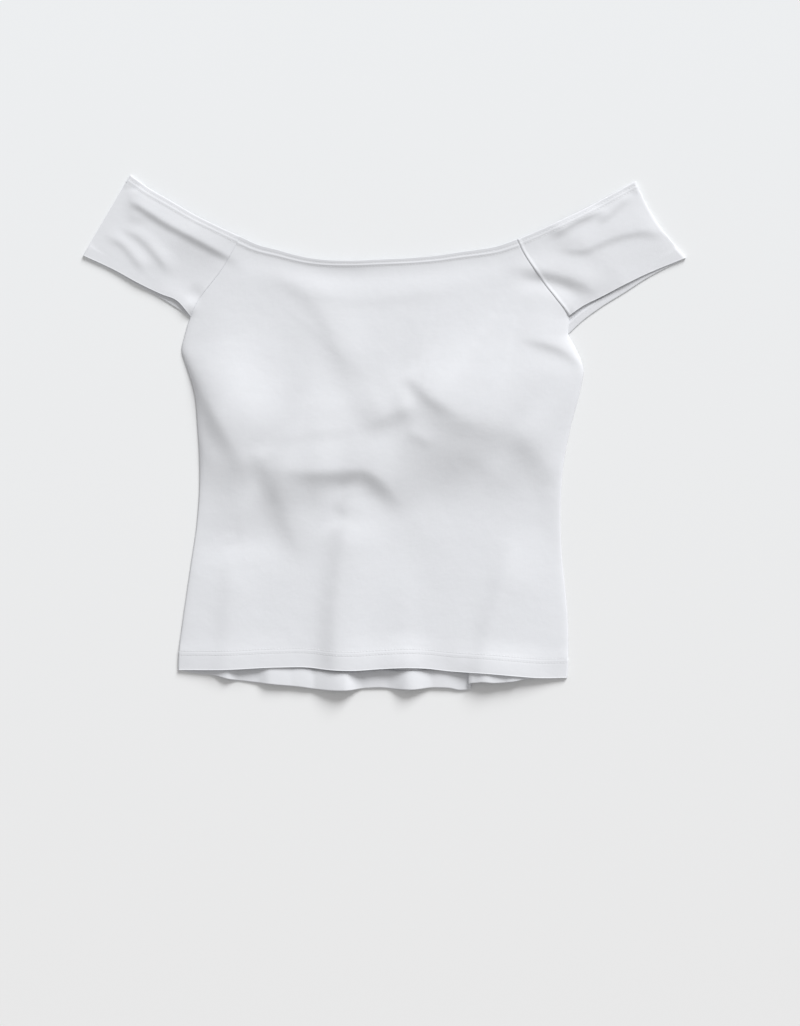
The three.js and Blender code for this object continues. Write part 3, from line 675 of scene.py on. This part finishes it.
def sleeve(name, node, sections, side, fold_ends, bow, seams, seam_rise):
    """A whole sleeve: front layer, folded edge and back layer in one net."""
    rows = Rows(SLEEVE_DEPTH, SLEEVE_HEM, NECK_HEM, dense=0.8, step=1.6)
    down = 1 - rows.at[:, None] / SLEEVE_DEPTH
    hemmed = hem_share(rows)
    out = np.concatenate([SEAM_SHARES, np.linspace(0.045, 1, 58)])
    lengthwise = np.array([fold_ends[1][0] - fold_ends[0][0], fold_ends[1][1] - fold_ends[0][1]])
    lengthwise = lengthwise / np.hypot(*lengthwise)
    outward = np.array([-lengthwise[1], lengthwise[0]]) * side
    tuck = FOLD_BULGE * outward
    fold_line = sleeve_fold(fold_ends, bow, down)
    over, under = out[None, :], out[::-1][None, :]
    x1, y1 = sleeve_layer(sections["front"], side, FRONT_SIDES, seams[0], fold_line, tuck, over, down)
    x3, y3 = sleeve_layer(sections["back"], side, BACK_SIDES, seams[1], fold_line, tuck, under, down)
    outer = rows.drop[:, None] == 0
    z1 = soften(front_top(x1, y1, 2 * FOLD_RADIUS), 3)
    z1 = np.maximum(z1, mix(EDGE_HEIGHT, HEMMED_EDGE_HEIGHT, hemmed))
    z1 = z1 + hem_relief(rows.length - rows.at[:, None], NECK_STITCH, outer, SLEEVE_RELIEF)
    from_seam = np.hypot(x1 - x1[:, :1], y1 - y1[:, :1])
    ridge = seam_rise * np.exp(-(from_seam - RIDGE_FROM_SEAM) ** 2)
    z1 = z1 + ridge - rows.drop[:, None]
    z3 = np.broadcast_to(rows.drop[:, None], x3.shape)
    angle = np.linspace(np.pi / 2, -np.pi / 2, FOLD_STEPS)[None, 1:-1]
    bend = FOLD_RADIUS - rows.drop[:, None]
    bulge = bend * FOLD_BULGE / FOLD_RADIUS * np.cos(angle)
    x2 = fold_line[0] - tuck[0] + outward[0] * bulge
    y2 = fold_line[1] - tuck[1] + outward[1] * bulge
    z2 = FOLD_RADIUS + bend * np.sin(angle)
    points = np.stack([np.hstack(axis) for axis in ((x1, x2, x3), (y1, y2, y3), (z1, z2, z3))], axis=-1)
    run = np.linalg.norm(np.diff(points[len(points) // 2], axis=0), axis=-1)
    across = np.concatenate([[0], np.cumsum(run)])[None, :]
    uv = np.stack(np.broadcast_arrays(across, rows.along[:, None]), axis=-1)
    piece = cloth(name, points, uv, outward_down=side < 0)
    piece.data.materials.append(jersey)
    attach(piece, "root")
    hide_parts(node)
    return piece, points, rows


sleeve_left, left_points, sleeve_rows = sleeve(
    "sleeve_left_cloth", "sleeve_left", LEFT_SLEEVE, -1, LEFT_FOLD_ENDS, LEFT_FOLD_BOW,
    ((FRONT_NECK_LINE[0][1], FRONT_ARMPITS[0]), (BACK_NECK_LINE[0][1], BACK_ARMPITS[0])), seam_rise=0.2)
sleeve_right, right_points, sleeve_rows = sleeve(
    "sleeve_right_cloth", "sleeve_right", RIGHT_SLEEVE, 1, RIGHT_FOLD_ENDS, RIGHT_FOLD_BOW,
    ((FRONT_NECK_LINE[-1][1], FRONT_ARMPITS[1]), (BACK_NECK_LINE[-1][1], BACK_ARMPITS[1])), seam_rise=0.5)

# Twin-needle stitching. Two rows of white thread sink into each turned hem: along the neckline, over
# both sleeves, and round the bottom.
STITCH_LENGTH = 2.5
STITCH_PITCH = 3.1
STITCH_WIDTH = 0.5
STITCH_RISE = 0.22
CLEAR_OF_SIDES = 4
CLEAR_OF_SEAMS = 2


def stitch_row(bm, path):
    """Stitches laid end to end along a path of points on the cloth, in millimetres."""
    run = np.concatenate([[0], np.cumsum(np.linalg.norm(np.diff(path, axis=0), axis=-1))])
    for middle in np.arange(STITCH_PITCH / 2, run[-1], STITCH_PITCH):
        a, b, centre = (
            Vector([float(np.interp(middle + shift, run, path[:, axis])) for axis in range(3)])
            for shift in (-STITCH_LENGTH / 2, STITCH_LENGTH / 2, 0))
        along = (b - a).normalized()
        up = (Vector((0, 0, 1)) - along * along.z).normalized()
        turn = Matrix((along, up.cross(along), up)).transposed().to_4x4()
        size = Matrix.Diagonal((STITCH_LENGTH * MM / 2, STITCH_WIDTH * MM / 2, STITCH_RISE * MM, 1))
        matrix = Matrix.Translation(centre * MM) @ turn @ size
        bmesh.ops.create_uvsphere(bm, u_segments=6, v_segments=4, radius=1, matrix=matrix)


def thread_material():
    """Spun polyester thread, a little brighter and smoother than the jersey, twisted along each stitch."""
    material = bpy.data.materials.new("white_thread")
    material.use_nodes = True
    nodes, links = material.node_tree.nodes, material.node_tree.links
    shader = nodes["Principled BSDF"]
    shader.inputs["Roughness"].default_value = 0.6
    place = nodes.new("ShaderNodeTexCoord")
    twist = nodes.new("ShaderNodeTexWave")
    twist.bands_direction = "DIAGONAL"
    twist.inputs["Scale"].default_value = 900
    twist.inputs["Distortion"].default_value = 1.5
    links.new(place.outputs["Object"], twist.inputs["Vector"])
    tone = nodes.new("ShaderNodeValToRGB")
    tone.color_ramp.elements[0].color = (0.76, 0.77, 0.79, 1)
    tone.color_ramp.elements[1].color = (0.84, 0.85, 0.87, 1)
    links.new(twist.outputs["Fac"], tone.inputs["Fac"])
    links.new(tone.outputs["Color"], shader.inputs["Base Color"])
    bump = nodes.new("ShaderNodeBump")
    bump.inputs["Strength"].default_value = 0.4
    bump.inputs["Distance"].default_value = 0.0001
    links.new(twist.outputs["Fac"], bump.inputs["Height"])
    links.new(bump.outputs["Normal"], shader.inputs["Normal"])
    return material


bm = bmesh.new()
for row in (BODY_STITCH, BODY_STITCH + TWIN_GAP):
    stitch_row(bm, front_points[front_rows.row_at(row)][CLEAR_OF_SIDES:-CLEAR_OF_SIDES])
for row in (NECK_STITCH, NECK_STITCH + TWIN_GAP):
    path = front_points[front_rows.row_at(FRONT_LENGTH - row)]
    stitch_row(bm, path[CLEAR_OF_SEAMS:-CLEAR_OF_SEAMS])
    for points in (left_points, right_points):
        path = points[sleeve_rows.row_at(SLEEVE_DEPTH - row)]
        stitch_row(bm, path[CLEAR_OF_SEAMS + 1:len(path) // 2])
bmesh.ops.recalc_face_normals(bm, faces=bm.faces)
for face in bm.faces:
    face.smooth = True
mesh = bpy.data.meshes.new("hem_stitching")
bm.to_mesh(mesh)
bm.free()
hem_stitching = bpy.data.objects.new("hem_stitching", mesh)
bpy.context.scene.collection.objects.link(hem_stitching)
mesh.materials.append(thread_material())
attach(hem_stitching, "root")

# Studio. A pale surface with a painted light falloff, one broad soft light from beyond the neckline and a
# little to the right, an even pale surround, and a camera straight above.
# The two floor colours below paint the light's falloff into the floor: bright and bluish at the top of the
# picture, dimmer at the bottom.
FLOOR_PAINTED_BRIGHT = (0.877, 0.893, 0.908)
FLOOR_PAINTED_DIM = (0.843, 0.844, 0.847)
PAINTED_FALLOFF_SPAN = (-0.55, 0.40)
FLOOR_SIZE = 30
FLOOR_DROP = 0.0003
LIGHT_HEIGHT = 27
LIGHT_SIDE = 25
LIGHT_SPREAD = 28
LIGHT_POWER = 3.65
SURROUND = 0.44
CAMERA_HEIGHT = 3.0
FRAME_MIDDLE = (0.0155, -0.08025)
FRAME_HEIGHT = 1.026


def painted_falloff_floor_material():
    """A matt pale surface with a painted light falloff: a little darker towards the bottom of the picture,
    and brighter and bluer towards the top.
    """
    material = bpy.data.materials.new("pale_surface_painted_falloff")
    material.use_nodes = True
    nodes, links = material.node_tree.nodes, material.node_tree.links
    shader = nodes["Principled BSDF"]
    shader.inputs["Roughness"].default_value = 0.9
    shader.inputs["Specular IOR Level"].default_value = 0.1
    place = nodes.new("ShaderNodeTexCoord")
    axes = nodes.new("ShaderNodeSeparateXYZ")
    links.new(place.outputs["Object"], axes.inputs["Vector"])
    # Painted light falloff: the floor's colour fades from the dim colour at the bottom of the picture to
    # the bright one at the top.
    painted_falloff = nodes.new("ShaderNodeMapRange")
    painted_falloff.inputs["From Min"].default_value, painted_falloff.inputs["From Max"].default_value = PAINTED_FALLOFF_SPAN
    links.new(axes.outputs["Y"], painted_falloff.inputs["Value"])
    tone = nodes.new("ShaderNodeValToRGB")
    tone.color_ramp.elements[0].color = (*FLOOR_PAINTED_DIM, 1)
    tone.color_ramp.elements[1].color = (*FLOOR_PAINTED_BRIGHT, 1)
    links.new(painted_falloff.outputs["Result"], tone.inputs["Fac"])
    links.new(tone.outputs["Color"], shader.inputs["Base Color"])
    return material


bm = bmesh.new()
bmesh.ops.create_grid(bm, x_segments=1, y_segments=1, size=FLOOR_SIZE)
bmesh.ops.translate(bm, verts=bm.verts, vec=(0, 0, -FLOOR_DROP))
mesh = bpy.data.meshes.new("floor")
bm.to_mesh(mesh)
bm.free()
floor = bpy.data.objects.new("floor", mesh)
bpy.context.scene.collection.objects.link(floor)
mesh.materials.append(painted_falloff_floor_material())

window = bpy.data.lights.new("window", "SUN")
window.energy = LIGHT_POWER
window.angle = np.radians(LIGHT_SPREAD)
window.color = (0.99, 0.995, 1.0)
lamp = bpy.data.objects.new("window", window)
lamp.rotation_euler = (np.radians(90 - LIGHT_HEIGHT), 0, np.radians(180 - LIGHT_SIDE))
bpy.context.scene.collection.objects.link(lamp)

scene = bpy.context.scene
world = bpy.data.worlds.new("surround")
scene.world = world
world.use_nodes = True
world.node_tree.nodes["Background"].inputs["Color"].default_value = (1.0, 0.99, 0.98, 1)
world.node_tree.nodes["Background"].inputs["Strength"].default_value = SURROUND
scene.view_settings.view_transform = "Standard"

lens = bpy.data.cameras.new("camera")
lens.sensor_fit = "VERTICAL"
lens.sensor_height = 36
lens.lens = lens.sensor_height * CAMERA_HEIGHT / FRAME_HEIGHT
camera = bpy.data.objects.new("camera", lens)
camera.location = (*FRAME_MIDDLE, CAMERA_HEIGHT)
scene.collection.objects.link(camera)
scene.camera = camera
